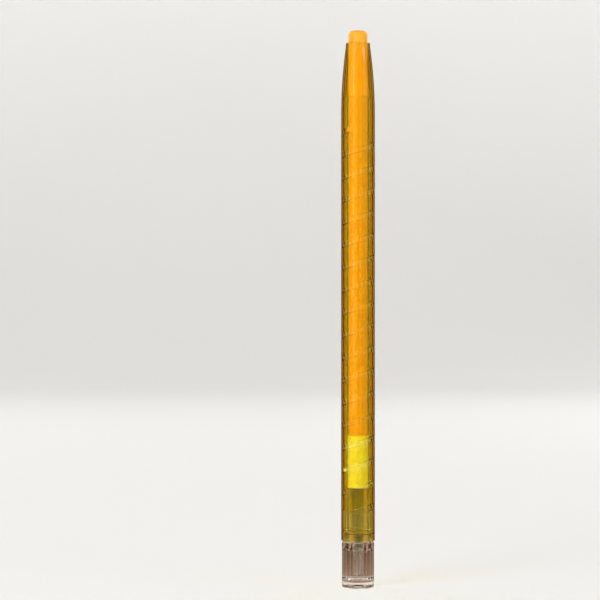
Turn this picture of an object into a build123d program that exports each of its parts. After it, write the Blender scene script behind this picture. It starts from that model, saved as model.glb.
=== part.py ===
"""Twist crayon: turning the knob at the tail winds a wax stick out of a see-through barrel.

Millimetres, +Z along the crayon towards the tip, origin at the middle of the knob's end face.
Diameters grow from the wax outwards, so every fit keeps its clearance when a size is changed.
"""
import os

from build123d import *

# Wax stick
wax_diameter = 5.1
wax_reach = 3.3
wax_tip_round = 1.2

# Fits, as gaps on one side
wax_gap = 0.3
mouth_gap = 0.15
running_gap = 0.1
cup_gap = 0.05
spigot_gap = 0.03
lug_side_gap = 0.1
lug_tip_gap = 0.15
stop_gap = 0.4
twist_gap = 0.25

# Barrel, with its nose
barrel_length = 132.75
barrel_skin = 0.55
barrel_chamfer = 0.25
nose_length = 18.0
lip_height = 1.0
lip_wall = 0.55
lip_chamfer = 0.2
mouth_land = 4.2

# Drive groove in the bore, and the two lugs that ride in it
groove_lead = 6.0
groove_depth = 0.5
groove_setback = 23.15
lug_diameter = 1.2
lug_chamfer = 0.2
retract_travel = 5.0

# Slotted drive tube, which turns in the tail of the barrel
tube_wall = 0.5
tube_setback = 14.4
tube_floor = 2.5
journal_length = 8.0
counterbore_step = 0.05
slot_rise = 2.0
snap_place = 2.5
snap_width = 0.8
snap_height = 0.2
snap_gap = 0.1
spigot_flats = 4.6
spigot_length = 8.5
lead_in = 0.2

# Carrier, which holds the tail of the wax
cup_wall = 0.5
cup_depth = 8.0
lug_margin = 0.9
core_diameter = 2.6
core_roof = 1.6

# Knob
knob_height = 12.2
knob_inset = 0.2
knob_chamfer = 0.4
rim_height = 2.3
collar_height = 1.8
flute_count = 20
flute_radius = 0.65
flute_depth = 0.35
gate_diameter = 4.0
gate_depth = 0.65

# Radii, from the wax outwards
wax_radius = wax_diameter / 2
tube_bore = wax_radius + wax_gap
tube_radius = tube_bore + tube_wall
barrel_bore = tube_radius + running_gap
groove_radius = barrel_bore + groove_depth
counterbore = groove_radius + counterbore_step
barrel_radius = groove_radius + barrel_skin
knob_radius = barrel_radius - knob_inset
mouth_bore = wax_radius + mouth_gap
lip_radius = mouth_bore + lip_wall
journal_radius = counterbore - running_gap
snap_crest = counterbore - snap_height
carrier_radius = tube_bore - running_gap
cup_bore = carrier_radius - cup_wall
core_radius = core_diameter / 2
lug_radius = lug_diameter / 2
lug_width = lug_diameter + 2 * lug_side_gap

# Heights, from the knob's end face to the tip
spigot_foot = knob_height - spigot_length
barrel_foot = knob_height + twist_gap
snap_middle = barrel_foot + snap_place
shoulder = barrel_foot + journal_length
journal_top = shoulder - stop_gap
slot_foot = journal_top + slot_rise
lower_lug = slot_foot + stop_gap + lug_radius + retract_travel
upper_lug = lower_lug + groove_lead / 2
carrier_foot = lower_lug - lug_radius - lug_margin
cup_floor = upper_lug + lug_radius + lug_margin
cup_top = cup_floor + cup_depth
mouth = barrel_foot + barrel_length
nose_top = mouth - lip_height
nose_foot = nose_top - nose_length
tube_top = mouth - tube_setback
groove_top = mouth - groove_setback
wax_tip = mouth + wax_reach

# Feed from the rest position to the blind end of the groove
feed_travel = groove_top - stop_gap - lug_radius - upper_lug


def outline(*corners):
    """Half section of a turned piece, from (radius, height) corners."""
    return make_face(Plane.XZ * Polyline(*corners, close=True))


def corner(section, radius, height):
    """The corner of a half section that lies nearest to a radius and height."""
    return section.vertices().sort_by_distance((radius, 0, height))[0]


def snap_ring(inner, outer, flat):
    """Ring at the snap's height: flat on its inside and flared at 45 degrees to its outside."""
    flare = flat + 2 * (outer - inner)
    ring = outline((inner, snap_middle - flat / 2), (outer, snap_middle - flare / 2),
                   (outer, snap_middle + flare / 2), (inner, snap_middle + flat / 2))
    return revolve(ring, Axis.Z)


def drive_groove():
    """Right-hand cam groove that turns the knob's twist into feed, open at its tail end."""
    foot = shoulder - groove_lead / 4
    path = Helix(groove_lead, groove_top - foot, barrel_bore)
    section = Plane(path @ 0, x_dir=(1, 0, 0), z_dir=path % 0) * Rectangle(2 * groove_depth, lug_width)
    phase = 360 * (foot - lower_lug) / groove_lead
    return Pos(0, 0, foot) * Rot(0, 0, phase) * sweep(section, path, is_frenet=True)


def barrel():
    """One moulding: a straight barrel, a nose drawn in on one long arc, and a short straight lip."""
    inset = barrel_radius - lip_radius
    nose_arc = (nose_length**2 + inset**2) / (2 * inset)
    side = Line((barrel_radius, barrel_foot), (barrel_radius, nose_foot))
    nose = RadiusArc((barrel_radius, nose_foot), (lip_radius, nose_top), -nose_arc)
    ends = Polyline((lip_radius, nose_top), (lip_radius, mouth), (0, mouth), (0, barrel_foot),
                    (barrel_radius, barrel_foot))
    section = make_face(Plane.XZ * Curve([side, nose, ends]))
    section = chamfer(corner(section, lip_radius, mouth), lip_chamfer)
    section = chamfer(corner(section, barrel_radius, barrel_foot), barrel_chamfer)
    bore = outline((0, barrel_foot), (counterbore, barrel_foot), (counterbore, shoulder),
                   (barrel_bore, shoulder), (barrel_bore, tube_top + stop_gap),
                   (mouth_bore, mouth - mouth_land), (mouth_bore, mouth), (0, mouth))
    snap = snap_ring(snap_crest, counterbore + snap_height, snap_width)
    return revolve(section - bore, Axis.Z) - drive_groove() + snap


def drive_tube():
    """Slotted tube whose journal snaps into the barrel's tail and whose hexagonal spigot drives it."""
    floor = knob_height + tube_floor
    section = outline((0, knob_height), (journal_radius, knob_height), (journal_radius, journal_top),
                      (tube_radius, journal_top), (tube_radius, tube_top), (tube_bore, tube_top),
                      (tube_bore, floor), (0, floor))
    section = chamfer(corner(section, tube_radius, tube_top), lead_in)
    section = chamfer(corner(section, journal_radius, journal_top), lead_in)
    snap = snap_ring(snap_crest - snap_gap, journal_radius + snap_gap, snap_width + 2 * snap_gap)
    slot_end = slot_foot + lug_width / 2
    across = Plane.YZ * (Pos(0, slot_end) * Circle(lug_width / 2)
                         + Pos(0, slot_end) * Rectangle(lug_width, tube_top - slot_end,
                                                        align=(Align.CENTER, Align.MIN)))
    slots = extrude(across, journal_radius, both=True)
    flats = RegularPolygon(spigot_flats / 2, 6, major_radius=False)
    spigot = extrude(Pos(0, 0, spigot_foot) * flats, spigot_length)
    spigot = chamfer(spigot.faces().sort_by(Axis.Z)[0].edges(), lead_in)
    return revolve(section, Axis.Z) - snap - slots + spigot


def carrier():
    """Cup for the wax, with two round lugs half a lead apart on opposite sides."""
    roof = cup_floor - core_roof
    cup = revolve(outline((core_radius, carrier_foot), (carrier_radius, carrier_foot),
                          (carrier_radius, cup_top), (cup_bore, cup_top), (cup_bore, cup_floor),
                          (0, cup_floor), (0, roof), (core_radius, roof)), Axis.Z)
    lug_root = (core_radius + carrier_radius) / 2
    lug_tip = groove_radius - lug_tip_gap
    lug = extrude(Plane.YZ.offset(lug_root) * Circle(lug_radius), lug_tip - lug_root)
    lug = chamfer(lug.edges().group_by(Axis.X)[-1], lug_chamfer)
    return cup + Pos(0, 0, lower_lug) * lug + Pos(0, 0, upper_lug) * Rot(0, 0, 180) * lug


def wax_stick():
    """Moulded stick with a stepped tail that fills the carrier's cup and a blunt rounded tip."""
    tail_radius = cup_bore - cup_gap
    section = outline((0, cup_floor), (tail_radius, cup_floor), (tail_radius, cup_top),
                      (wax_radius, cup_top), (wax_radius, wax_tip), (0, wax_tip))
    return revolve(fillet(corner(section, wax_radius, wax_tip), wax_tip_round), Axis.Z)


def twist_knob():
    """Clear knob with scooped flutes, pressed on the tube's spigot, with a gate recess in its end."""
    gate_radius = gate_diameter / 2
    section = outline((0, gate_depth), (gate_radius, gate_depth), (gate_radius, 0), (knob_radius, 0),
                      (knob_radius, knob_height), (0, knob_height))
    section = chamfer(corner(section, knob_radius, 0), knob_chamfer)
    section = chamfer(corner(section, knob_radius, knob_height), knob_chamfer)
    flats = RegularPolygon(spigot_flats / 2 + spigot_gap, 6, major_radius=False)
    socket = extrude(Pos(0, 0, spigot_foot - stop_gap) * flats, spigot_length + stop_gap)
    flute_floor = knob_radius - flute_depth
    low = rim_height + flute_depth
    high = knob_height - collar_height - flute_depth
    scoop = extrude(outline((flute_floor, low), (flute_floor + flute_radius, low - flute_radius),
                            (flute_floor + flute_radius, high + flute_radius), (flute_floor, high)),
                    flute_radius, both=True)
    flute = scoop & Pos(flute_floor + flute_radius, 0, knob_height / 2) * Cylinder(flute_radius, knob_height)
    flutes = [place * flute for place in PolarLocations(0, flute_count)]
    return revolve(section, Axis.Z) - socket - flutes


os.makedirs("parts", exist_ok=True)
for piece in (barrel, drive_tube, carrier, wax_stick, twist_knob):
    export_step(piece(), f"parts/{piece.__name__}.step")
print(f"feed {feed_travel:.2f} mm out and {retract_travel:.2f} mm back, {groove_lead:.2f} mm a turn")
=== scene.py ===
"""Twist crayon: a golden wax stick that the clear knob at the tail winds out of a see-through barrel.

Metres, in the frame of the CAD model: +Z along the crayon to its tip, origin in the knob's end face.
"""
from math import ceil, cos, pi, radians, sin, sqrt, tan, tau

import bmesh
import bpy
from mathutils import Matrix, Vector


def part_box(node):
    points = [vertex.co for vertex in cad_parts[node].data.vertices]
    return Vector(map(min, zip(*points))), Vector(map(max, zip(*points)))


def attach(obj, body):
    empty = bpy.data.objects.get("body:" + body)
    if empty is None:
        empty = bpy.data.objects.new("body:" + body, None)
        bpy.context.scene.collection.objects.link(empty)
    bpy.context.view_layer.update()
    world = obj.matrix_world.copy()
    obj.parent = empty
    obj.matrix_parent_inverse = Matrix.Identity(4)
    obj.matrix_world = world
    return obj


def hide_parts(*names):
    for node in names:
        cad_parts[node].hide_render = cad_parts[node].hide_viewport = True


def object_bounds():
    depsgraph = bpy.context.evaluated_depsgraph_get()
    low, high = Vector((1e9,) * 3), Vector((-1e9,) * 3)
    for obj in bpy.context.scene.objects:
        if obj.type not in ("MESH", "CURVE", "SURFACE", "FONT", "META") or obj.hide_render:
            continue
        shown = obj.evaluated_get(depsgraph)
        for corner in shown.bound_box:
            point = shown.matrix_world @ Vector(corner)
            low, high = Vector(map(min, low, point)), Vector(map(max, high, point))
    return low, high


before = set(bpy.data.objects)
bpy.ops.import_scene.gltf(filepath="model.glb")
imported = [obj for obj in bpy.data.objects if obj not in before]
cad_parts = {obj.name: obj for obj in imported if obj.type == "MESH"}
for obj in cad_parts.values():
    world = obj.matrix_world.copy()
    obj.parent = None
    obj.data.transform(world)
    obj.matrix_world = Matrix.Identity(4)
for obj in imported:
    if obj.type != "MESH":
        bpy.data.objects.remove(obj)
cad_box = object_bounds()

# Wax stick
# A round stick of pigmented paraffin wax, cast in a polished mould and pushed out of it lengthwise.
# Its thinner tail is pressed into the carrier's cup, and its blunt tip has a rounded edge.
mm = 0.001
wax_low, wax_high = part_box("wax_stick")
wax_radius = wax_high.x
wax_tail_radius = 2.2 * mm
wax_tail_length = 8 * mm
wax_shoulder = wax_low.z + wax_tail_length
wax_tip_round = 1.2 * mm
wax_edge = 0.12 * mm
wax_gold = "EEA610"
wax_pale = "F2B022"
wax_deep = "DC8F0A"
wax_cloud_size = 2.5 * mm
wax_speck_size = 0.55 * mm
wax_line_size = 0.25 * mm
wax_grain_size = 0.18 * mm
wax_relief = 0.02 * mm


def rounded(corners, arc_steps=6, guard=0.15 * mm):
    """Outline through (radius, height, rounding) corners, with short guard runs beside each bend."""
    guard_room = 8 * guard
    spots = [Vector(corner[:2]) for corner in corners]
    line = []
    for place, corner in enumerate(corners):
        if len(corner) == 2:
            line.append(spots[place])
            continue
        before = (spots[place - 1] - spots[place]).normalized()
        after = (spots[place + 1] - spots[place]).normalized()
        half = before.angle(after) / 2
        middle = spots[place] + (before + after).normalized() * corner[2] / sin(half)
        start = (spots[place] + before * corner[2] / tan(half) - middle).normalized()
        end = (spots[place] + after * corner[2] / tan(half) - middle).normalized()
        for step in range(arc_steps + 1):
            line.append(middle + start.slerp(end, step / arc_steps) * corner[2])
    guarded = line[:1]
    for first, last in zip(line, line[1:]):
        run = last - first
        if run.length > guard_room:
            guarded.append(first + run.normalized() * guard)
            guarded.append(last - run.normalized() * guard)
        guarded.append(last)
    return guarded


def finished(piece, shape, weld=0.0005 * mm, crease=32):
    """Gives a piece its mesh from a bmesh: doubles merged, faces outwards, smooth but for sharp edges."""
    bmesh.ops.remove_doubles(shape, verts=shape.verts, dist=weld)
    bmesh.ops.recalc_face_normals(shape, faces=shape.faces)
    shape.to_mesh(piece.data)
    shape.free()
    piece.data.shade_smooth()
    piece.data.set_sharp_from_angle(angle=radians(crease))
    return piece


def blank(name):
    """An empty mesh object at the origin."""
    piece = bpy.data.objects.new(name, bpy.data.meshes.new(name))
    bpy.context.scene.collection.objects.link(piece)
    return piece


def turned(name, line, sides=128, place=Matrix()):
    """Piece turned about the axis from an outline, with a point where the outline meets the axis."""
    shape = bmesh.new()
    rings = []
    for radius, height in line:
        count = sides if radius > 0 else 1
        ring = [Vector((radius * cos(tau * k / sides), radius * sin(tau * k / sides), height))
                for k in range(count)]
        rings.append([shape.verts.new(place @ spot) for spot in ring])
    for low, high in zip(rings, rings[1:]):
        for k in range(sides):
            after = (k + 1) % sides
            face = [low[k % len(low)], low[after % len(low)], high[after % len(high)], high[k % len(high)]]
            shape.faces.new(dict.fromkeys(face))
    return finished(blank(name), shape)


def srgb(code):
    """Linear colour of an sRGB hex value."""
    parts = [int(code[k:k + 2], 16) / 255 for k in (0, 2, 4)]
    return [c / 12.92 if c <= 0.04045 else ((c + 0.055) / 1.055) ** 2.4 for c in parts] + [1]


def add_node(tree, kind, inputs=None, **settings):
    """Adds a node with its settings, and with its inputs set to values or linked to other sockets."""
    node = tree.nodes.new(kind)
    for name, value in settings.items():
        setattr(node, name, value)
    for name, value in (inputs or {}).items():
        if isinstance(value, bpy.types.NodeSocket):
            tree.links.new(value, node.inputs[name])
        else:
            node.inputs[name].default_value = value
    return node


def blank_look(piece, name):
    """A new material on a piece, with no nodes in it yet, and its node tree."""
    look = bpy.data.materials.new(name)
    look.use_nodes = True
    look.node_tree.nodes.clear()
    piece.data.materials.clear()
    piece.data.materials.append(look)
    return look.node_tree


golden_wax = turned("golden_wax", rounded([
    (0, wax_low.z), (wax_tail_radius, wax_low.z, wax_edge), (wax_tail_radius, wax_shoulder),
    (wax_radius, wax_shoulder, wax_edge), (wax_radius, wax_high.z, wax_tip_round), (0, wax_high.z)]))

# Cast wax is cloudy: light goes in a little way, so its shades are soft and its gloss is dull and uneven.
# Pigment lies in faint clouds with a few darker specks, and the mould leaves fine lines along the stick.
wax = blank_look(golden_wax, "paraffin_wax_cast")
wax_spot = add_node(wax, "ShaderNodeTexCoord").outputs["Object"]
wax_clouds = add_node(wax, "ShaderNodeTexNoise", {"Vector": wax_spot, "Scale": 1 / wax_cloud_size,
                                                  "Detail": 4})
wax_colour = add_node(wax, "ShaderNodeValToRGB", {"Fac": wax_clouds.outputs["Fac"]})
for stop, (spread, code) in zip((0, 1), ((0.35, wax_gold), (0.72, wax_pale))):
    wax_colour.color_ramp.elements[stop].position = spread
    wax_colour.color_ramp.elements[stop].color = srgb(code)
wax_specks = add_node(wax, "ShaderNodeTexVoronoi", {"Vector": wax_spot, "Scale": 1 / wax_speck_size})
wax_speck = add_node(wax, "ShaderNodeMapRange", {"Value": wax_specks.outputs["Distance"], "From Min": 0.1,
                                                 "From Max": 0.2, "To Min": 0.35, "To Max": 0.0})
wax_mixed = add_node(wax, "ShaderNodeMix", {"Factor": wax_speck.outputs["Result"],
                                            "A": wax_colour.outputs["Color"], "B": srgb(wax_deep)},
                     data_type="RGBA")
wax_along = add_node(wax, "ShaderNodeMapping", {"Vector": wax_spot, "Scale": (1, 1, 0.04)})
wax_lines = add_node(wax, "ShaderNodeTexNoise", {"Vector": wax_along.outputs["Vector"],
                                                 "Scale": 1 / wax_line_size, "Detail": 3})
wax_grain = add_node(wax, "ShaderNodeTexNoise", {"Vector": wax_spot, "Scale": 1 / wax_grain_size,
                                                 "Detail": 5})
wax_gloss = add_node(wax, "ShaderNodeMapRange", {"Value": wax_grain.outputs["Fac"], "From Min": 0.3,
                                                 "From Max": 0.7, "To Min": 0.36, "To Max": 0.56})
wax_line_bump = add_node(wax, "ShaderNodeBump", {"Height": wax_lines.outputs["Fac"], "Strength": 0.5,
                                                 "Distance": wax_relief})
wax_bump = add_node(wax, "ShaderNodeBump", {"Height": wax_grain.outputs["Fac"], "Strength": 0.6,
                                            "Distance": wax_relief,
                                            "Normal": wax_line_bump.outputs["Normal"]})
wax_shader = add_node(wax, "ShaderNodeBsdfPrincipled", {
    "Base Color": wax_mixed.outputs[2], "Roughness": wax_gloss.outputs["Result"], "IOR": 1.44,
    "Subsurface Weight": 0.35, "Subsurface Radius": (1.0, 0.6, 0.2), "Subsurface Scale": 1.0 * mm,
    "Normal": wax_bump.outputs["Normal"]})
add_node(wax, "ShaderNodeOutputMaterial", {"Surface": wax_shader.outputs["BSDF"]})
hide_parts("wax_stick")
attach(golden_wax, "feed")

# Carrier
# A white cup moulded in polypropylene, cored out from below, that holds the tail of the wax.
# Two round lugs, half a lead apart on opposite sides, stand out through the tube into the drive groove.
carrier_low, carrier_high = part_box("carrier")
carrier_radius = carrier_high.y
carrier_wall = 0.5 * mm
carrier_core_radius = 1.3 * mm
carrier_roof_wall = 1.6 * mm
carrier_roof = wax_low.z - carrier_roof_wall
carrier_edge = 0.1 * mm
lug_radius = 0.6 * mm
lug_edge = 0.18 * mm
lug_margin = 0.9 * mm
lead = 6 * mm
lower_lug = carrier_low.z + lug_margin + lug_radius
lug_root = (carrier_core_radius + carrier_radius) / 2
carrier_white = "F3F2EC"
carrier_grain_size = 0.12 * mm


def settled(piece):
    """The piece with its modifiers worked into a plain mesh."""
    graph = bpy.context.evaluated_depsgraph_get()
    mesh = bpy.data.meshes.new_from_object(piece.evaluated_get(graph))
    piece.modifiers.clear()
    shape = bmesh.new()
    shape.from_mesh(mesh)
    bpy.data.meshes.remove(mesh)
    return finished(piece, shape)


def combined(piece, tool, operation):
    """The piece with a tool's solid joined to it or cut from it. The tool is then gone."""
    change = piece.modifiers.new("combined", "BOOLEAN")
    change.operation = operation
    change.object = tool
    settled(piece)
    bpy.data.objects.remove(tool)
    return piece


cup_radius = carrier_radius - carrier_wall
wax_carrier = turned("wax_carrier", rounded([
    (0, carrier_roof), (carrier_core_radius, carrier_roof),
    (carrier_core_radius, carrier_low.z, carrier_edge), (carrier_radius, carrier_low.z, carrier_edge),
    (carrier_radius, carrier_high.z, carrier_edge), (cup_radius, carrier_high.z, carrier_edge),
    (cup_radius, wax_low.z), (0, wax_low.z)]), sides=96)
lug_line = rounded([(0, lug_root), (lug_radius, lug_root), (lug_radius, carrier_high.x, lug_edge),
                    (0, carrier_high.x)])
for side, lug_height in ((1, lower_lug), (-1, lower_lug + lead / 2)):
    outwards = Matrix.Translation((0, 0, lug_height)) @ Matrix.Rotation(side * pi / 2, 4, "Y")
    combined(wax_carrier, turned("lug", lug_line, sides=48, place=outwards), "UNION")

# White polypropylene is slightly waxy and lets a little light in. The mould's spark-eroded steel
# leaves a fine even grain, and its gloss is soft.
white_pp = blank_look(wax_carrier, "polypropylene_white_moulded")
white_spot = add_node(white_pp, "ShaderNodeTexCoord").outputs["Object"]
white_grain = add_node(white_pp, "ShaderNodeTexNoise", {"Vector": white_spot,
                                                        "Scale": 1 / carrier_grain_size,
                                                        "Detail": 3})
white_gloss = add_node(white_pp, "ShaderNodeMapRange", {"Value": white_grain.outputs["Fac"], "From Min": 0.3,
                                                        "From Max": 0.7, "To Min": 0.34, "To Max": 0.48})
white_bump = add_node(white_pp, "ShaderNodeBump", {"Height": white_grain.outputs["Fac"], "Strength": 0.5,
                                                   "Distance": 0.01 * mm})
white_shader = add_node(white_pp, "ShaderNodeBsdfPrincipled", {
    "Base Color": srgb(carrier_white), "Roughness": white_gloss.outputs["Result"], "IOR": 1.49,
    "Subsurface Weight": 0.2, "Subsurface Radius": (1.0, 0.9, 0.8), "Subsurface Scale": 0.6 * mm,
    "Normal": white_bump.outputs["Normal"]})
add_node(white_pp, "ShaderNodeOutputMaterial", {"Surface": white_shader.outputs["BSDF"]})
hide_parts("carrier")
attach(wax_carrier, "feed")

# Drive tube
# A long thin tube of natural polypropylene with two open slots, which turn the carrier and let it slide.
# Its thick journal snaps over a ridge in the barrel's tail, and the knob is pressed on its hexagonal spigot.
tube_low, tube_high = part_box("drive_tube")
knob_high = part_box("twist_knob")[1]
journal_radius = tube_high.y
journal_top = 20.05 * mm
tube_radius = 3.35 * mm
tube_bore = 2.85 * mm
tube_floor_wall = 2.5 * mm
tube_floor = knob_high.z + tube_floor_wall
tube_edge = 0.12 * mm
snap_middle = 14.95 * mm
snap_groove_root = 3.7 * mm
snap_groove_flat = 1.0 * mm
slot_width = 1.4 * mm
slot_rise = 2 * mm
slot_foot = journal_top + slot_rise
spigot_flats = 4.6 * mm
spigot_corner = spigot_flats / sqrt(3)
spigot_edge = 0.2 * mm
cutter_overrun = 1 * mm
tube_milk = "FEFDF9"
tube_line_size = 0.3 * mm


def slot_cutter(name, width, foot, top, reach, arc_steps=24):
    """Bar along X, round at its foot, that cuts a slot right through a tube."""
    shape = bmesh.new()
    outline = [(width / 2, top), (-width / 2, top)]
    for step in range(arc_steps + 1):
        angle = pi + pi * step / arc_steps
        outline.append((width / 2 * cos(angle), foot + width / 2 + width / 2 * sin(angle)))
    near = shape.faces.new([shape.verts.new((-reach, across, height)) for across, height in outline])
    grown = bmesh.ops.extrude_face_region(shape, geom=[near])["geom"]
    far = [v for v in grown if isinstance(v, bmesh.types.BMVert)]
    bmesh.ops.translate(shape, verts=far, vec=(2 * reach, 0, 0))
    return finished(blank(name), shape)


snap_flare = snap_groove_flat / 2 + journal_radius - snap_groove_root
slotted_tube = turned("slotted_tube", rounded([
    (0, knob_high.z), (journal_radius, knob_high.z, tube_edge),
    (journal_radius, snap_middle - snap_flare), (snap_groove_root, snap_middle - snap_groove_flat / 2),
    (snap_groove_root, snap_middle + snap_groove_flat / 2), (journal_radius, snap_middle + snap_flare),
    (journal_radius, journal_top, tube_edge), (tube_radius, journal_top),
    (tube_radius, tube_high.z, tube_edge), (tube_bore, tube_high.z, tube_edge), (tube_bore, tube_floor),
    (0, tube_floor)]))
slots = slot_cutter("slots", slot_width, slot_foot, tube_high.z + cutter_overrun,
                    journal_radius + cutter_overrun)
combined(slotted_tube, slots, "DIFFERENCE")
spigot = turned("spigot", [
    (0, tube_low.z), (spigot_corner - spigot_edge, tube_low.z), (spigot_corner, tube_low.z + spigot_edge),
    (spigot_corner, knob_high.z + tube_edge), (0, knob_high.z + tube_edge)], sides=6)
combined(slotted_tube, spigot, "UNION")

# Unpigmented polypropylene is slightly milky, but a wall this thin only veils what lies behind it.
# Its surface is smooth, with a soft gloss and faint lines along the draw of the core pin. Lamp light passes
# it, and the clear pieces round it, as through a plain veil, so that the wax inside is lit.
milky_pp = blank_look(slotted_tube, "polypropylene_natural_moulded")
milky_spot = add_node(milky_pp, "ShaderNodeTexCoord").outputs["Object"]
milky_along = add_node(milky_pp, "ShaderNodeMapping", {"Vector": milky_spot, "Scale": (1, 1, 0.03)})
milky_lines = add_node(milky_pp, "ShaderNodeTexNoise", {"Vector": milky_along.outputs["Vector"],
                                                        "Scale": 1 / tube_line_size, "Detail": 3})
milky_gloss = add_node(milky_pp, "ShaderNodeMapRange", {"Value": milky_lines.outputs["Fac"], "From Min": 0.3,
                                                        "From Max": 0.7, "To Min": 0.06, "To Max": 0.14})
milky_bump = add_node(milky_pp, "ShaderNodeBump", {"Height": milky_lines.outputs["Fac"], "Strength": 0.1,
                                                   "Distance": 0.01 * mm})
milky_shader = add_node(milky_pp, "ShaderNodeBsdfPrincipled", {
    "Base Color": srgb(tube_milk), "Roughness": milky_gloss.outputs["Result"], "IOR": 1.49,
    "Transmission Weight": 0.96, "Normal": milky_bump.outputs["Normal"]})
milky_veil = add_node(milky_pp, "ShaderNodeBsdfTransparent", {"Color": srgb(tube_milk)})
milky_ray = add_node(milky_pp, "ShaderNodeLightPath").outputs["Is Shadow Ray"]
milky_lit = add_node(milky_pp, "ShaderNodeMixShader", {"Fac": milky_ray, 1: milky_shader.outputs["BSDF"],
                                                       2: milky_veil.outputs["BSDF"]})
add_node(milky_pp, "ShaderNodeOutputMaterial", {"Surface": milky_lit.outputs["Shader"]})
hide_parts("drive_tube")
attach(slotted_tube, "drive")

# Barrel
# One glossy moulding in tinted see-through styrene: a straight barrel, a nose drawn in on a long arc and
# a short straight lip. A right-hand groove in its bore turns the twist of the carrier's lugs into feed.
barrel_low, barrel_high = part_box("barrel")
barrel_radius = barrel_high.x
barrel_bore = 3.45 * mm
barrel_edge = 0.22 * mm
inner_edge = 0.1 * mm
counterbore = 4 * mm
journal_length = 8 * mm
shoulder = barrel_low.z + journal_length
snap_crest = 3.8 * mm
snap_flat = 0.8 * mm
nose_length = 18 * mm
nose_steps = 28
lip_height = 1 * mm
lip_radius = 3.25 * mm
mouth_bore = 2.7 * mm
mouth_land = 4.2 * mm
stop_gap = 0.4 * mm
bore_top = tube_high.z + stop_gap
groove_setback = 23.15 * mm
groove_end = barrel_high.z - groove_setback
groove_depth = 0.5 * mm
groove_width = 1.34 * mm
groove_flank = 0.1 * mm
groove_run_out = 0.8 * mm
barrel_sides = 144
seal_distance = 0.002 * mm
barrel_clear = "FFFDF2"
barrel_tint = "FEF800"
barrel_tint_density = 1500
barrel_line_size = 0.8 * mm
barrel_scuff_size = 1.5 * mm

groove_head = groove_end + lead / 4
nose_foot = barrel_high.z - lip_height - nose_length
nose_inset = barrel_radius - lip_radius
nose_arc = (nose_length**2 + nose_inset**2) / (2 * nose_inset)
nose_line = []
for step in range(1, nose_steps):
    rise = nose_length * (1 - step / nose_steps)
    nose_line.append((barrel_radius - nose_arc + sqrt(nose_arc**2 - rise**2), nose_foot + rise))
ridge_flare = snap_flat / 2 + counterbore - snap_crest
tinted_barrel = turned("tinted_barrel", rounded([
    (barrel_bore, groove_head), (barrel_bore, bore_top), (mouth_bore, barrel_high.z - mouth_land),
    (mouth_bore, barrel_high.z, inner_edge), (lip_radius, barrel_high.z, barrel_edge),
    (lip_radius, barrel_high.z - lip_height), *nose_line, (barrel_radius, nose_foot),
    (barrel_radius, barrel_low.z, barrel_edge), (counterbore, barrel_low.z, inner_edge),
    (counterbore, snap_middle - ridge_flare), (snap_crest, snap_middle - snap_flat / 2),
    (snap_crest, snap_middle + snap_flat / 2), (counterbore, snap_middle + ridge_flare),
    (counterbore, shoulder)]), sides=barrel_sides)


def new_tree(name, sizes):
    """A Geometry Nodes tree with a shape input, named size inputs and a material, and its input node."""
    tree = bpy.data.node_groups.new(name, "GeometryNodeTree")
    tree.interface.new_socket("Shape", in_out="INPUT", socket_type="NodeSocketGeometry")
    for size in sizes:
        tree.interface.new_socket(size, in_out="INPUT", socket_type="NodeSocketFloat")
    tree.interface.new_socket("Finish", in_out="INPUT", socket_type="NodeSocketMaterial")
    tree.interface.new_socket("Shape", in_out="OUTPUT", socket_type="NodeSocketGeometry")
    return tree, add_node(tree, "NodeGroupInput").outputs


def shaped(piece, tree, values):
    """The piece with a tree's modifier, its inputs set by identifier, worked into a plain mesh."""
    change = piece.modifiers.new(tree.name, "NODES")
    change.node_group = tree
    for socket in tree.interface.items_tree:
        if socket.in_out == "INPUT" and socket.name in values:
            change[socket.identifier] = values[socket.name]
    return settled(piece)


# The groove's tree lays a grid whose rows climb with the groove, one lead a turn, so its edges stay crisp.
# Each row has a place across one lead: the groove's two flanks and floor, or the land between.
groove_sizes = {"Sides": barrel_sides, "Bore": barrel_bore, "Groove Depth": groove_depth,
                "Groove Width": groove_width, "Flank": groove_flank, "Lead": lead, "Lug Height": lower_lug,
                "Foot": shoulder, "Top": groove_head, "Counterbore": counterbore,
                "End": groove_end, "End Climb": lead * groove_run_out / (tau * barrel_bore)}
groove, size = new_tree("drive_groove", groove_sizes)
groove_rows = 4
land_rows = 4
rows_a_lead = groove_rows + land_rows
laps_below = ceil((lower_lug - shoulder) / lead) + 1
laps = laps_below + ceil((groove_head - lower_lug) / lead) + 1
row_count = laps * rows_a_lead + 2
columns = add_node(groove, "ShaderNodeMath", {0: size["Sides"], 1: 1.0}, operation="ADD")
grid = add_node(groove, "GeometryNodeMeshGrid", {"Vertices X": columns.outputs[0], "Vertices Y": row_count})
index = add_node(groove, "GeometryNodeInputIndex")
strip = add_node(groove, "ShaderNodeMath", {0: index.outputs[0], 1: row_count}, operation="DIVIDE")
column = add_node(groove, "ShaderNodeMath", {0: strip.outputs[0]}, operation="FLOOR")
row = add_node(groove, "ShaderNodeMath", {0: index.outputs[0], 1: row_count}, operation="MODULO")
turn = add_node(groove, "ShaderNodeMath", {0: column.outputs[0], 1: size["Sides"]}, operation="DIVIDE")
step_up = add_node(groove, "ShaderNodeMath", {0: row.outputs[0], 1: 1.0}, operation="SUBTRACT")
lap_share = add_node(groove, "ShaderNodeMath", {0: step_up.outputs[0], 1: rows_a_lead}, operation="DIVIDE")
lap = add_node(groove, "ShaderNodeMath", {0: lap_share.outputs[0]}, operation="FLOOR")
in_lap = add_node(groove, "ShaderNodeMath", {0: lap.outputs[0], 1: -rows_a_lead, 2: step_up.outputs[0]},
                  operation="MULTIPLY_ADD")
half_width = add_node(groove, "ShaderNodeMath", {0: size["Groove Width"], 1: 0.5}, operation="MULTIPLY")
outer_half = add_node(groove, "ShaderNodeMath", {0: half_width.outputs[0], 1: size["Flank"]}, operation="ADD")
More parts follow.
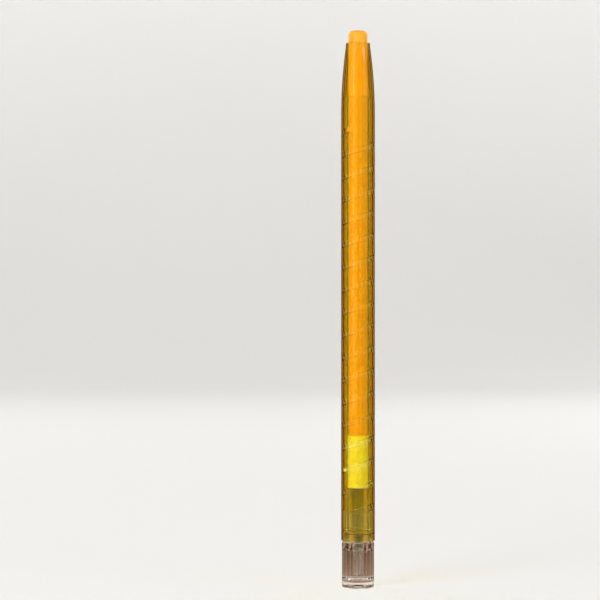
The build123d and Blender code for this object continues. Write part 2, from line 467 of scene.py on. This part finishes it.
land = add_node(groove, "ShaderNodeMath", {0: outer_half.outputs[0], 1: -2.0, 2: size["Lead"]},
                operation="MULTIPLY_ADD")
across = add_node(groove, "GeometryNodeIndexSwitch", {"Index": in_lap.outputs[0]}, data_type="FLOAT")
while len(across.index_switch_items) < rows_a_lead:
    across.index_switch_items.new()
for item, (share, edge) in enumerate(((-1, outer_half), (-1, half_width), (0, half_width), (1, half_width))):
    place = add_node(groove, "ShaderNodeMath", {0: edge.outputs[0], 1: share}, operation="MULTIPLY")
    groove.links.new(place.outputs[0], across.inputs[item + 1])
for item in range(land_rows):
    place = add_node(groove, "ShaderNodeMath", {0: land.outputs[0], 1: item / land_rows,
                                                2: outer_half.outputs[0]}, operation="MULTIPLY_ADD")
    groove.links.new(place.outputs[0], across.inputs[groove_rows + item + 1])
climb = add_node(groove, "ShaderNodeMath", {0: turn.outputs[0], 1: lap.outputs[0]}, operation="ADD")
climbed = add_node(groove, "ShaderNodeMath", {0: climb.outputs[0], 1: laps_below}, operation="SUBTRACT")
row_rise = add_node(groove, "ShaderNodeMath", {0: climbed.outputs[0], 1: size["Lead"],
                                               2: size["Lug Height"]}, operation="MULTIPLY_ADD")
free_height = add_node(groove, "ShaderNodeMath", {0: row_rise.outputs[0], 1: across.outputs[0]},
                       operation="ADD")
height = add_node(groove, "ShaderNodeClamp", {"Value": free_height.outputs[0], "Min": size["Foot"],
                                              "Max": size["Top"]})
over_lug = add_node(groove, "ShaderNodeMath", {0: height.outputs[0], 1: size["Lug Height"]},
                    operation="SUBTRACT")
leads_up = add_node(groove, "ShaderNodeMath", {0: over_lug.outputs[0], 1: size["Lead"]}, operation="DIVIDE")
phase = add_node(groove, "ShaderNodeMath", {0: leads_up.outputs[0], 1: turn.outputs[0]},
                 operation="SUBTRACT")
nearest = add_node(groove, "ShaderNodeMath", {0: phase.outputs[0]}, operation="ROUND")
off = add_node(groove, "ShaderNodeMath", {0: phase.outputs[0], 1: nearest.outputs[0]}, operation="SUBTRACT")
off_size = add_node(groove, "ShaderNodeMath", {0: off.outputs[0]}, operation="ABSOLUTE")
from_middle = add_node(groove, "ShaderNodeMath", {0: off_size.outputs[0], 1: size["Lead"]},
                       operation="MULTIPLY")
cut = add_node(groove, "ShaderNodeMapRange", {"Value": from_middle.outputs[0],
                                              "From Min": half_width.outputs[0],
                                              "From Max": outer_half.outputs[0],
                                              "To Min": size["Groove Depth"], "To Max": 0.0})
path_turns = add_node(groove, "ShaderNodeMath", {0: nearest.outputs[0], 1: turn.outputs[0]}, operation="ADD")
path_height = add_node(groove, "ShaderNodeMath", {0: path_turns.outputs[0], 1: size["Lead"],
                                                  2: size["Lug Height"]}, operation="MULTIPLY_ADD")
before_end = add_node(groove, "ShaderNodeMath", {0: size["End"], 1: size["End Climb"]}, operation="SUBTRACT")
blind = add_node(groove, "ShaderNodeMapRange", {"Value": path_height.outputs[0],
                                                "From Min": before_end.outputs[0],
                                                "From Max": size["End"], "To Min": 1.0, "To Max": 0.0})
wall = add_node(groove, "ShaderNodeMath", {0: cut.outputs[0], 1: blind.outputs[0], 2: size["Bore"]},
                operation="MULTIPLY_ADD")
first_row = add_node(groove, "ShaderNodeMath", {0: row.outputs[0], 1: 0.5}, operation="LESS_THAN")
radius = add_node(groove, "ShaderNodeMix", {"Factor": first_row.outputs[0], "A": wall.outputs[0],
                                            "B": size["Counterbore"]}, data_type="FLOAT")
angle = add_node(groove, "ShaderNodeMath", {0: turn.outputs[0], 1: tau}, operation="MULTIPLY")
cosine = add_node(groove, "ShaderNodeMath", {0: angle.outputs[0]}, operation="COSINE")
sine = add_node(groove, "ShaderNodeMath", {0: angle.outputs[0]}, operation="SINE")
spot_x = add_node(groove, "ShaderNodeMath", {0: radius.outputs[0], 1: cosine.outputs[0]},
                  operation="MULTIPLY")
spot_y = add_node(groove, "ShaderNodeMath", {0: radius.outputs[0], 1: sine.outputs[0]},
                  operation="MULTIPLY")
spot = add_node(groove, "ShaderNodeCombineXYZ", {"X": spot_x.outputs[0], "Y": spot_y.outputs[0],
                                                 "Z": height.outputs[0]})
bent = add_node(groove, "GeometryNodeSetPosition", {"Geometry": grid.outputs["Mesh"],
                                                    "Position": spot.outputs[0]})
both = add_node(groove, "GeometryNodeJoinGeometry", {"Geometry": bent.outputs[0]})
groove.links.new(size["Shape"], both.inputs["Geometry"])
sealed = add_node(groove, "GeometryNodeMergeByDistance", {"Geometry": both.outputs[0],
                                                          "Distance": seal_distance})
real = add_node(groove, "GeometryNodeRealizeInstances", {"Geometry": sealed.outputs[0]})
coated = add_node(groove, "GeometryNodeSetMaterial", {"Geometry": real.outputs[0],
                                                      "Material": size["Finish"]})
add_node(groove, "NodeGroupOutput", {"Shape": coated.outputs[0]})

# Tinted styrene is clear and glossy, and its colour deepens with the depth of plastic looked through.
# Polished steel leaves it smooth, but for faint flow lines along it and patches that handling has dulled.
tinted = blank_look(tinted_barrel, "styrene_yellow_tinted_moulded")
tinted_spot = add_node(tinted, "ShaderNodeTexCoord").outputs["Object"]
tinted_along = add_node(tinted, "ShaderNodeMapping", {"Vector": tinted_spot, "Scale": (1, 1, 0.02)})
tinted_lines = add_node(tinted, "ShaderNodeTexNoise", {"Vector": tinted_along.outputs["Vector"],
                                                       "Scale": 1 / barrel_line_size, "Detail": 2})
tinted_scuffs = add_node(tinted, "ShaderNodeTexNoise", {"Vector": tinted_spot,
                                                        "Scale": 1 / barrel_scuff_size, "Detail": 6})
tinted_gloss = add_node(tinted, "ShaderNodeMapRange", {"Value": tinted_scuffs.outputs["Fac"],
                                                       "From Min": 0.45, "From Max": 0.75,
                                                       "To Min": 0.07, "To Max": 0.14})
tinted_bump = add_node(tinted, "ShaderNodeBump", {"Height": tinted_lines.outputs["Fac"], "Strength": 0.15,
                                                  "Distance": 0.02 * mm})
tinted_shader = add_node(tinted, "ShaderNodeBsdfPrincipled", {
    "Base Color": srgb(barrel_clear), "Roughness": tinted_gloss.outputs["Result"], "IOR": 1.57,
    "Transmission Weight": 1.0, "Normal": tinted_bump.outputs["Normal"]})
tinted_depth = add_node(tinted, "ShaderNodeVolumeAbsorption", {"Color": srgb(barrel_tint),
                                                               "Density": barrel_tint_density})
tinted_open = add_node(tinted, "ShaderNodeBsdfTransparent", {"Color": srgb(barrel_clear)})
tinted_ray = add_node(tinted, "ShaderNodeLightPath").outputs["Is Shadow Ray"]
tinted_lit = add_node(tinted, "ShaderNodeMixShader", {"Fac": tinted_ray, 1: tinted_shader.outputs["BSDF"],
                                                      2: tinted_open.outputs["BSDF"]})
add_node(tinted, "ShaderNodeOutputMaterial", {"Surface": tinted_lit.outputs["Shader"],
                                              "Volume": tinted_depth.outputs["Volume"]})
shaped(tinted_barrel, groove, {**groove_sizes, "Finish": tinted_barrel.data.materials[0]})
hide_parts("barrel")
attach(tinted_barrel, "barrel")

# Knob
# A short clear knob moulded in polystyrene, with scooped flutes for the fingers between two plain bands.
# A hexagonal socket takes the tube's spigot, and the stub of the moulding gate hides in a recess below.
knob_radius = knob_high.x
knob_edge = 0.4 * mm
gate_radius = 2 * mm
gate_depth = 0.65 * mm
gate_edge = 0.1 * mm
flute_count = 20
flute_columns = 24
flute_radius = 0.65 * mm
flute_depth = 0.35 * mm
flute_low = 2.3 * mm
collar_height = 1.8 * mm
flute_high = knob_high.z - collar_height
flute_edge = 0.08 * mm
flute_end_rows = 16
flute_end_span = 1 * mm
flute_end_margin = 0.3 * mm
side_tolerance = 0.001 * mm
socket_foot = tube_low.z - stop_gap
spigot_gap = 0.03 * mm
socket_corner = spigot_corner + 2 * spigot_gap / sqrt(3)
knob_clear = "FDFDFB"
knob_veil = "F2F1EC"
knob_tint = "E4E1D6"
knob_tint_density = 60
knob_scuff_size = 0.6 * mm

flute_axis = knob_radius - flute_depth + flute_radius
flute_run_out = sqrt(flute_radius**2 - (flute_axis - knob_radius)**2)


def fluted(radius, height, aside):
    """Radius of the knob's side at an angle from a flute's middle, where a ball-ended cutter has passed."""
    beyond = max(0, flute_low + flute_run_out - height, height - flute_high + flute_run_out)
    left = flute_radius**2 - (knob_radius * sin(aside))**2 - beyond**2
    floor = flute_axis - sqrt(max(left, 0)) if left > 0 else knob_radius + flute_radius
    share = min(max(0.5 + 0.5 * (floor - radius) / flute_edge, 0), 1)
    return floor + (radius - floor) * share - flute_edge * share * (1 - share)


flute_ends = []
for end_foot in (flute_low - flute_end_margin, flute_high + flute_end_margin - flute_end_span):
    for k in range(flute_end_rows + 1):
        flute_ends.append((knob_radius, end_foot + flute_end_span * k / flute_end_rows))
knob_line = rounded([
    (0, gate_depth), (gate_radius, gate_depth), (gate_radius, 0, gate_edge), (knob_radius, 0, knob_edge),
    *flute_ends, (knob_radius, knob_high.z, knob_edge), (0, knob_high.z)])
sector = bmesh.new()
sector_rows = []
for radius_here, height_here in knob_line:
    sector_row = []
    for k in range(flute_columns + 1 if radius_here > 0 else 1):
        aside = tau / flute_count * (k / flute_columns - 0.5)
        on_side = abs(radius_here - knob_radius) < side_tolerance
        reach = fluted(radius_here, height_here, aside) if on_side else radius_here
        sector_row.append(sector.verts.new((reach * cos(aside), reach * sin(aside), height_here)))
    sector_rows.append(sector_row)
for low_row, high_row in zip(sector_rows, sector_rows[1:]):
    for k in range(flute_columns):
        face = [low_row[min(k, len(low_row) - 1)], low_row[min(k + 1, len(low_row) - 1)],
                high_row[min(k + 1, len(high_row) - 1)], high_row[min(k, len(high_row) - 1)]]
        sector.faces.new(dict.fromkeys(face))
fluted_knob = finished(blank("fluted_knob"), sector)

# The knob's tree sets one flute's wedge round the axis as often as there are flutes, and seals the joins.
flutes, knob_size = new_tree("knob_flutes", ["Flutes"])
wedges = add_node(flutes, "GeometryNodePoints", {"Count": knob_size["Flutes"]})
wedge_index = add_node(flutes, "GeometryNodeInputIndex")
wedge_share = add_node(flutes, "ShaderNodeMath", {0: wedge_index.outputs[0], 1: knob_size["Flutes"]},
                       operation="DIVIDE")
wedge_angle = add_node(flutes, "ShaderNodeMath", {0: wedge_share.outputs[0], 1: tau}, operation="MULTIPLY")
wedge_turn = add_node(flutes, "FunctionNodeAxisAngleToRotation", {"Axis": (0, 0, 1),
                                                                  "Angle": wedge_angle.outputs[0]})
placed = add_node(flutes, "GeometryNodeInstanceOnPoints", {"Points": wedges.outputs[0],
                                                           "Instance": knob_size["Shape"],
                                                           "Rotation": wedge_turn.outputs[0]})
real_knob = add_node(flutes, "GeometryNodeRealizeInstances", {"Geometry": placed.outputs[0]})
knob_sealed = add_node(flutes, "GeometryNodeMergeByDistance", {"Geometry": real_knob.outputs[0],
                                                               "Distance": seal_distance})
knob_coated = add_node(flutes, "GeometryNodeSetMaterial", {"Geometry": knob_sealed.outputs[0],
                                                           "Material": knob_size["Finish"]})
add_node(flutes, "NodeGroupOutput", {"Shape": knob_coated.outputs[0]})

# General-purpose polystyrene is water clear with a high gloss, and bends light strongly.
# Handling leaves small patches of its surface a little duller than the rest.
clear = blank_look(fluted_knob, "polystyrene_clear_moulded")
clear_spot = add_node(clear, "ShaderNodeTexCoord").outputs["Object"]
clear_scuffs = add_node(clear, "ShaderNodeTexNoise", {"Vector": clear_spot, "Scale": 1 / knob_scuff_size,
                                                      "Detail": 5})
clear_gloss = add_node(clear, "ShaderNodeMapRange", {"Value": clear_scuffs.outputs["Fac"], "From Min": 0.4,
                                                     "From Max": 0.75, "To Min": 0.03, "To Max": 0.12})
clear_bump = add_node(clear, "ShaderNodeBump", {"Height": clear_scuffs.outputs["Fac"], "Strength": 0.1,
                                                "Distance": 0.01 * mm})
clear_shader = add_node(clear, "ShaderNodeBsdfPrincipled", {
    "Base Color": srgb(knob_clear), "Roughness": clear_gloss.outputs["Result"], "IOR": 1.59,
    "Transmission Weight": 1.0, "Normal": clear_bump.outputs["Normal"]})
clear_depth = add_node(clear, "ShaderNodeVolumeAbsorption", {"Color": srgb(knob_tint),
                                                             "Density": knob_tint_density})
clear_open = add_node(clear, "ShaderNodeBsdfTransparent", {"Color": srgb(knob_veil)})
clear_ray = add_node(clear, "ShaderNodeLightPath").outputs["Is Shadow Ray"]
clear_lit = add_node(clear, "ShaderNodeMixShader", {"Fac": clear_ray, 1: clear_shader.outputs["BSDF"],
                                                    2: clear_open.outputs["BSDF"]})
add_node(clear, "ShaderNodeOutputMaterial", {"Surface": clear_lit.outputs["Shader"],
                                             "Volume": clear_depth.outputs["Volume"]})
shaped(fluted_knob, flutes, {"Flutes": flute_count, "Finish": fluted_knob.data.materials[0]})
socket_top = knob_high.z + cutter_overrun
hexagon = turned("hexagon", [(0, socket_foot), (socket_corner, socket_foot), (socket_corner, socket_top),
                             (0, socket_top)], sides=6)
combined(fluted_knob, hexagon, "DIFFERENCE")
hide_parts("twist_knob")
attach(fluted_knob, "drive")

# Studio
# A plain pale sweep all round, so that every view has the same ground, with soft boxes in front and behind.
# The camera looks level and straight at the crayon, which stands right of the middle as in the photograph.
floor_drop = 0.02 * mm
sweep_radius = 2.0
sweep_bend = 0.7
sweep_height = 1.8
sweep_paint = "F1F0EE"
sweep_grain_size = 1.5 * mm
wall_glow = 0.34
ceiling_white = "F7F8FA"
ceiling_strength = 0.3
cloth_start = 0.012
cloth_plain = 0.015
cloth_fade = 0.075
cloth_distance = 1.25
cloth_height = 1.3
cloth_bands = 10
cloth_band_start = 0.05
cloth_band_full = 0.35
cloth_near = 0.37
cloth_pale = 0.5
cloth_dark = 0.02
cloth_dye = "FFC8AA"
barrel_pixels = 33.7
pixel = 2 * barrel_radius / barrel_pixels
crayon_column = 358
base_row = 587
image_middle = 300
lens_mm = 135
sensor_mm = 36

sweep = turned("sweep", rounded([(0, -floor_drop), (sweep_radius, -floor_drop, sweep_bend),
                                 (sweep_radius, sweep_height)], arc_steps=24, guard=0.05))

# Rolled emulsion paint is flat, with a fine stipple. The wall glows a little, so that it stays pale.
painted = blank_look(sweep, "emulsion_paint_rolled")
painted_spot = add_node(painted, "ShaderNodeTexCoord").outputs["Object"]
painted_grain = add_node(painted, "ShaderNodeTexNoise", {"Vector": painted_spot,
                                                         "Scale": 1 / sweep_grain_size, "Detail": 3})
painted_bump = add_node(painted, "ShaderNodeBump", {"Height": painted_grain.outputs["Fac"], "Strength": 0.2,
                                                    "Distance": 0.05 * mm})
painted_up = add_node(painted, "ShaderNodeSeparateXYZ", {"Vector": painted_spot})
painted_glow = add_node(painted, "ShaderNodeMapRange", {"Value": painted_up.outputs["Z"],
                                                        "From Max": sweep_bend, "To Max": wall_glow})
painted_shader = add_node(painted, "ShaderNodeBsdfPrincipled", {
    "Base Color": srgb(sweep_paint), "Roughness": 0.9, "Specular IOR Level": 0.0,
    "Normal": painted_bump.outputs["Normal"], "Emission Color": srgb(sweep_paint),
    "Emission Strength": painted_glow.outputs["Result"]})
add_node(painted, "ShaderNodeOutputMaterial", {"Surface": painted_shader.outputs["BSDF"]})

# Warm grey cloth with soft dark bands hangs all round and lies on the floor, out of the picture, as dark
# cards do where clear plastic is photographed on white. It is met only by sight that clear plastic reflects
# or bends, and gives the see-through pieces their dark warm edges. Light on the pieces passes through it.
cloth = turned("cloth", [(cloth_start, 0), (cloth_distance, 0), (cloth_distance, cloth_height)])
cloth.visible_camera = False
cloth.visible_diffuse = False
cloth.visible_shadow = False
banded = blank_look(cloth, "cotton_cloth_dyed")
banded_spot = add_node(banded, "ShaderNodeTexCoord").outputs["Object"]
banded_turn = add_node(banded, "ShaderNodeTexGradient", {"Vector": banded_spot}, gradient_type="RADIAL")
banded_count = add_node(banded, "ShaderNodeMath", {0: banded_turn.outputs["Fac"], 1: cloth_bands},
                        operation="MULTIPLY")
banded_fold = add_node(banded, "ShaderNodeMath", {0: banded_count.outputs[0], 1: 0.5}, operation="PINGPONG")
banded_flat = add_node(banded, "ShaderNodeVectorMath", {0: banded_spot, 1: (1, 1, 0)}, operation="MULTIPLY")
banded_out = add_node(banded, "ShaderNodeVectorMath", {0: banded_flat.outputs["Vector"]}, operation="LENGTH")
banded_share = add_node(banded, "ShaderNodeMapRange", {"Value": banded_out.outputs["Value"],
                                                       "From Min": cloth_plain, "From Max": cloth_fade})
banded_far = add_node(banded, "ShaderNodeMapRange", {"Value": banded_fold.outputs[0],
                                                     "From Min": cloth_band_start,
                                                     "From Max": cloth_band_full, "To Min": cloth_pale,
                                                     "To Max": cloth_dark}, interpolation_type="SMOOTHSTEP")
banded_grey = add_node(banded, "ShaderNodeMix", {"Factor": banded_share.outputs["Result"], "A": cloth_near,
                                                 "B": banded_far.outputs["Result"]}, data_type="FLOAT")
banded_dyed = add_node(banded, "ShaderNodeMix", {"Factor": 1.0, "A": banded_grey.outputs[0],
                                                 "B": srgb(cloth_dye)}, data_type="RGBA",
                       blend_type="MULTIPLY")
banded_shader = add_node(banded, "ShaderNodeBsdfDiffuse", {"Color": banded_dyed.outputs[2]})
banded_open = add_node(banded, "ShaderNodeBsdfTransparent")
banded_ray = add_node(banded, "ShaderNodeLightPath").outputs["Diffuse Depth"]
banded_seen = add_node(banded, "ShaderNodeMixShader", {"Fac": banded_ray, 1: banded_shader.outputs["BSDF"],
                                                       2: banded_open.outputs["BSDF"]})
add_node(banded, "ShaderNodeOutputMaterial", {"Surface": banded_seen.outputs["Shader"]})

middle = Vector((0, 0, cad_box[1][2] / 2))
for name, place, width, height_m, watts in (("key", (-0.8, -1.0, 0.75), 0.8, 0.8, 9.5),
                                            ("fill", (0.95, -0.75, 0.6), 0.7, 0.7, 3.8),
                                            ("back_left", (-0.9, 0.85, 0.6), 0.7, 0.7, 3.5),
                                            ("back_right", (0.8, 0.95, 0.6), 0.7, 0.7, 4.5),
                                            ("strip", (-0.55, -0.78, 0.1), 0.06, 0.9, 0.35)):
    lamp = bpy.data.lights.new(name, "AREA")
    lamp.shape = "RECTANGLE"
    lamp.size = width
    lamp.size_y = height_m
    lamp.energy = watts
    soft_box = bpy.data.objects.new(name, lamp)
    soft_box.location = place
    soft_box.visible_camera = False
    soft_box.rotation_euler = (middle - Vector(place)).to_track_quat("-Z", "Y").to_euler()
    bpy.context.scene.collection.objects.link(soft_box)

world = bpy.data.worlds.new("soft_ceiling")
world.use_nodes = True
world.node_tree.nodes["Background"].inputs["Color"].default_value = srgb(ceiling_white)
world.node_tree.nodes["Background"].inputs["Strength"].default_value = ceiling_strength
bpy.context.scene.world = world
bpy.context.scene.view_settings.view_transform = "Standard"

camera = bpy.data.objects.new("camera", bpy.data.cameras.new("camera"))
camera.data.lens = lens_mm
camera.data.sensor_width = sensor_mm
camera.location = ((image_middle - crayon_column) * pixel, -2 * image_middle * pixel * lens_mm / sensor_mm,
                   (base_row - image_middle) * pixel)
camera.rotation_euler = (pi / 2, 0, 0)
bpy.context.scene.collection.objects.link(camera)
bpy.context.scene.camera = camera
